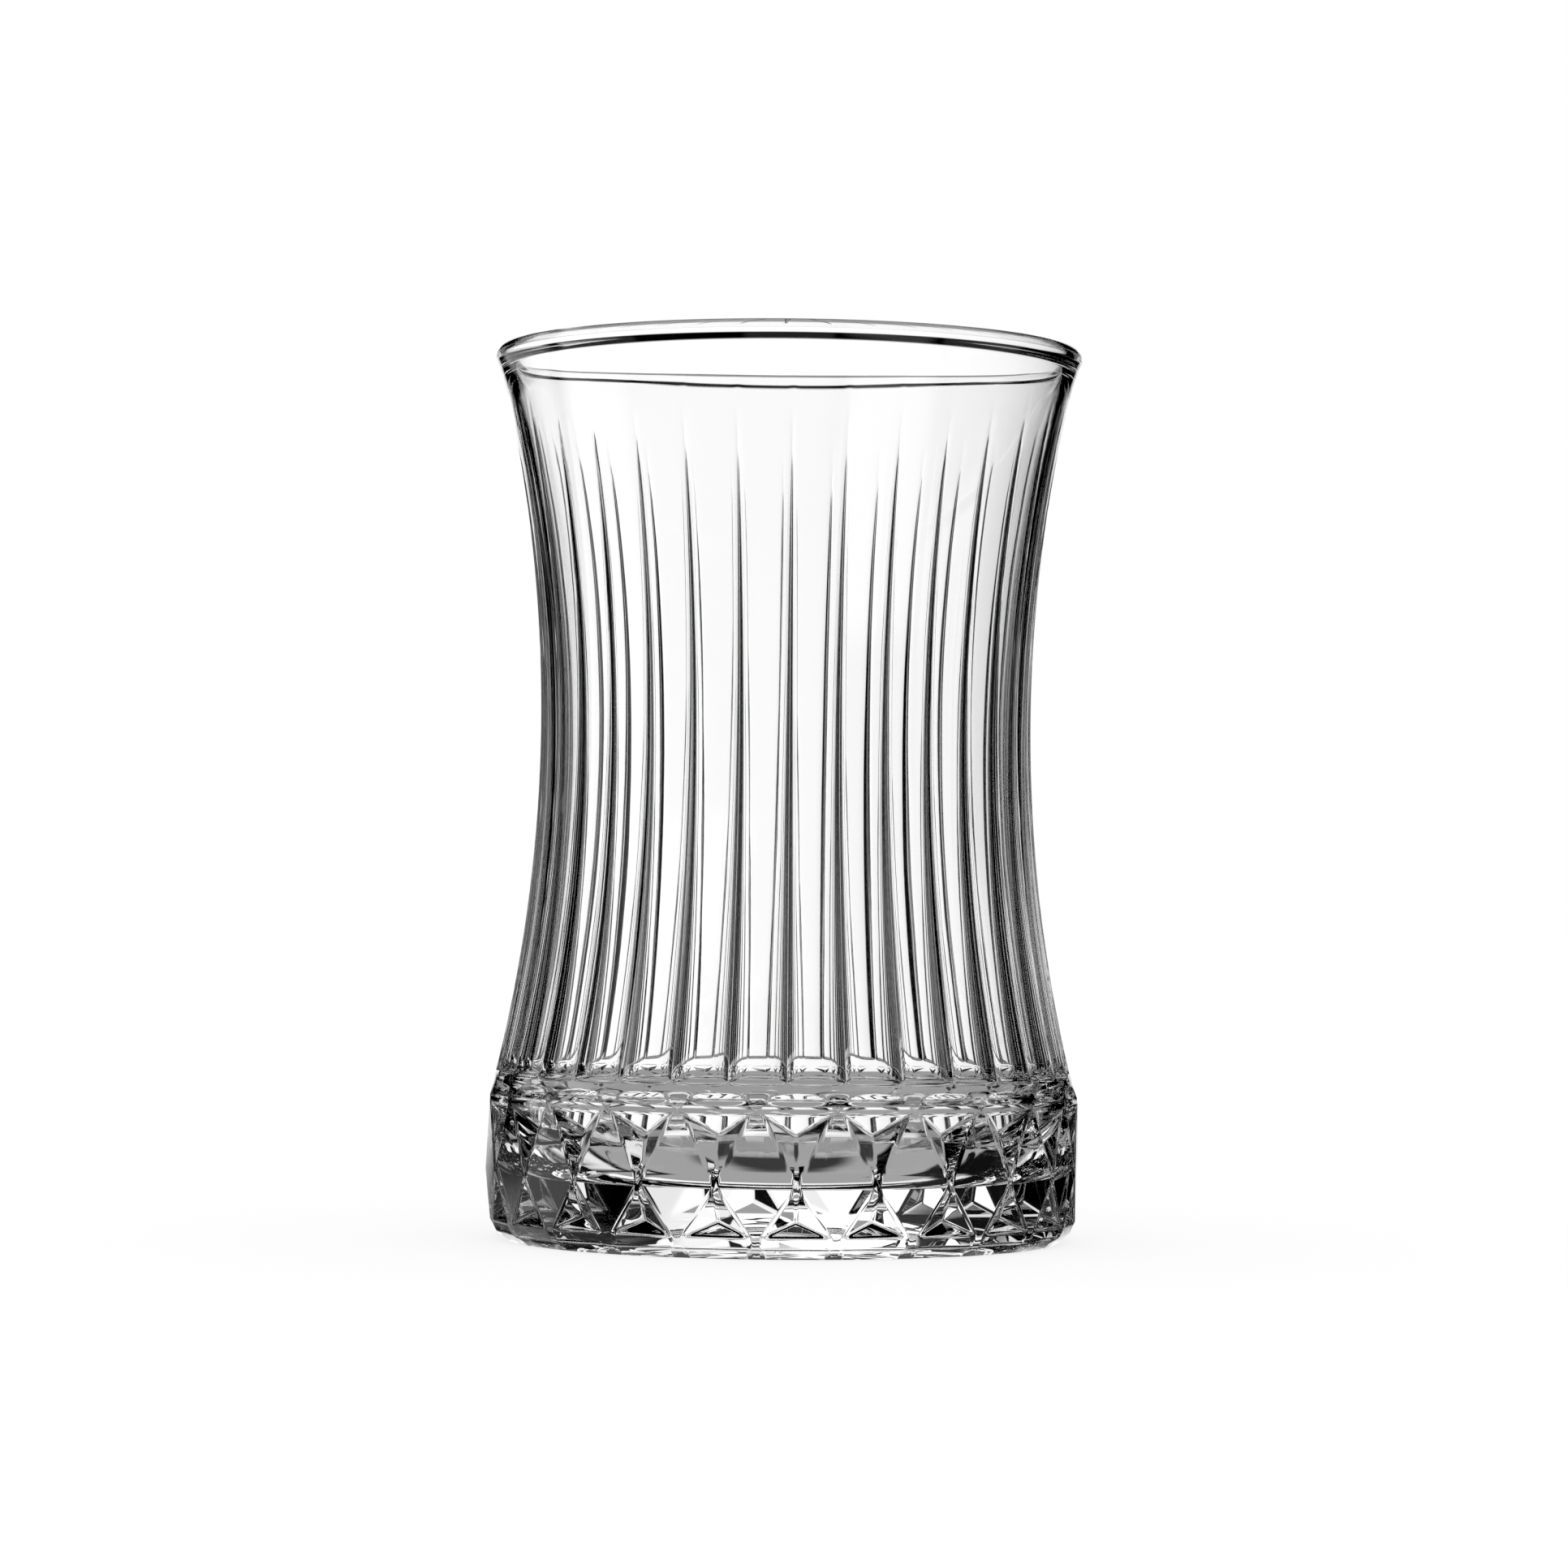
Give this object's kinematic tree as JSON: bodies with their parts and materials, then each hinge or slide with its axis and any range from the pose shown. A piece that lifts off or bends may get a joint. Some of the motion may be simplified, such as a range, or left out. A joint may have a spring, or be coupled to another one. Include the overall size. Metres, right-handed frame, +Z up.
{
  "type": "chai glass",
  "caption": "Small clear pressed-glass tea tumbler with an hourglass wall, fading vertical flutes, a rounded rim bead and a faceted foot band",
  "frame": {"origin": "centre of the resting face, on the glass's axis", "axes": "+Z up to the rim; -Y is the side the picture shows, with the middle of a flute on it"},
  "size_m": [0.0596, 0.0596, 0.09],
  "materials": {
    "clear_glass": "fire-polished, clear and colourless"
  },
  "bodies": {
    "root": {"glass": "clear_glass"}
  },
  "joints": []
}
